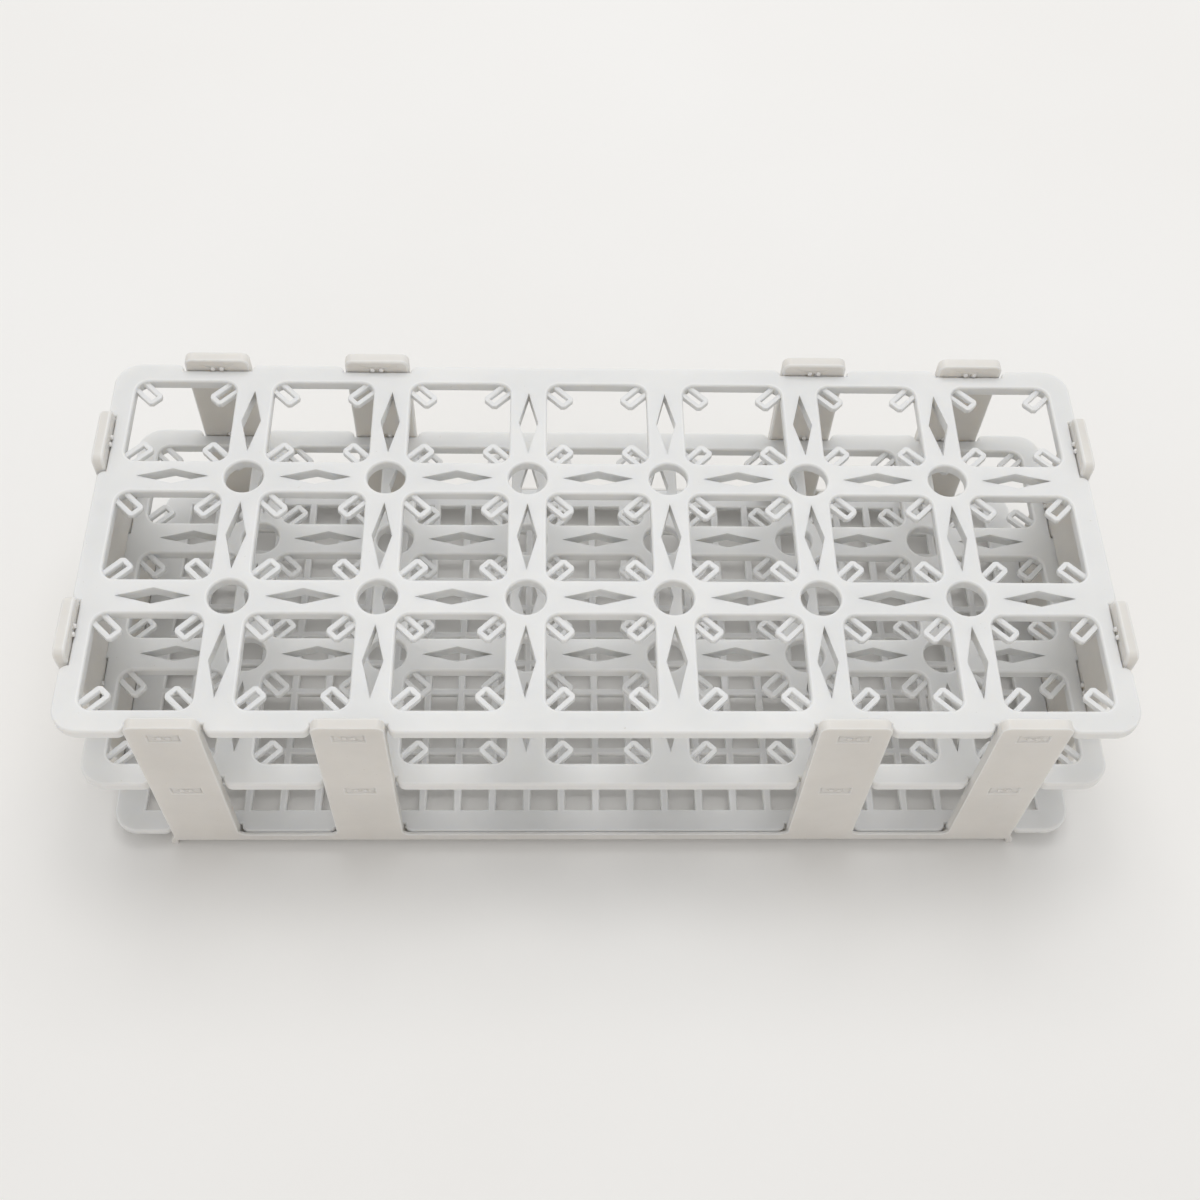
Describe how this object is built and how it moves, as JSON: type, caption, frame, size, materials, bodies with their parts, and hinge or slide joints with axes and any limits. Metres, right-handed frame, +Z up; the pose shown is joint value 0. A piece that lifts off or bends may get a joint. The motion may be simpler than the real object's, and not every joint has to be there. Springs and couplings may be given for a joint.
{
  "type": "test tube rack",
  "caption": "Knock-down plastic test tube rack with two gripping shelves of square wells with spring fingers over a base grid, clipped between long side panels and end panels.",
  "frame": {"origin": "centre of the rack's plan outline, at the level of the feet", "axes": "+X along the rack, +Y across it from the front panel to the back panel, +Z up"},
  "size_m": [0.2454, 0.1076, 0.062],
  "materials": {
    "shelf_plastic": "natural white polypropylene, fine satin",
    "grid_plastic": "natural white polypropylene, fine satin",
    "panel_plastic": "natural white polypropylene, slightly warm, fine satin"
  },
  "bodies": {
    "shelves": {"top_shelf": "shelf_plastic", "middle_shelf": "shelf_plastic", "base_grid": "grid_plastic"},
    "front": {"front_panel": "panel_plastic"},
    "back": {"back_panel": "panel_plastic"},
    "left_end": {"left_end_panel": "panel_plastic"},
    "right_end": {"right_end_panel": "panel_plastic"}
  },
  "joints": [
    {"name": "front_unclip", "type": "slide", "parent": "shelves", "child": "front", "axis": [0, -1, 0], "range_m": [0, 0.012]},
    {"name": "back_unclip", "type": "slide", "parent": "shelves", "child": "back", "axis": [0, 1, 0], "range_m": [0, 0.012]},
    {"name": "left_unclip", "type": "slide", "parent": "shelves", "child": "left_end", "axis": [-1, 0, 0], "range_m": [0, 0.012]},
    {"name": "right_unclip", "type": "slide", "parent": "shelves", "child": "right_end", "axis": [1, 0, 0], "range_m": [0, 0.012]}
  ]
}
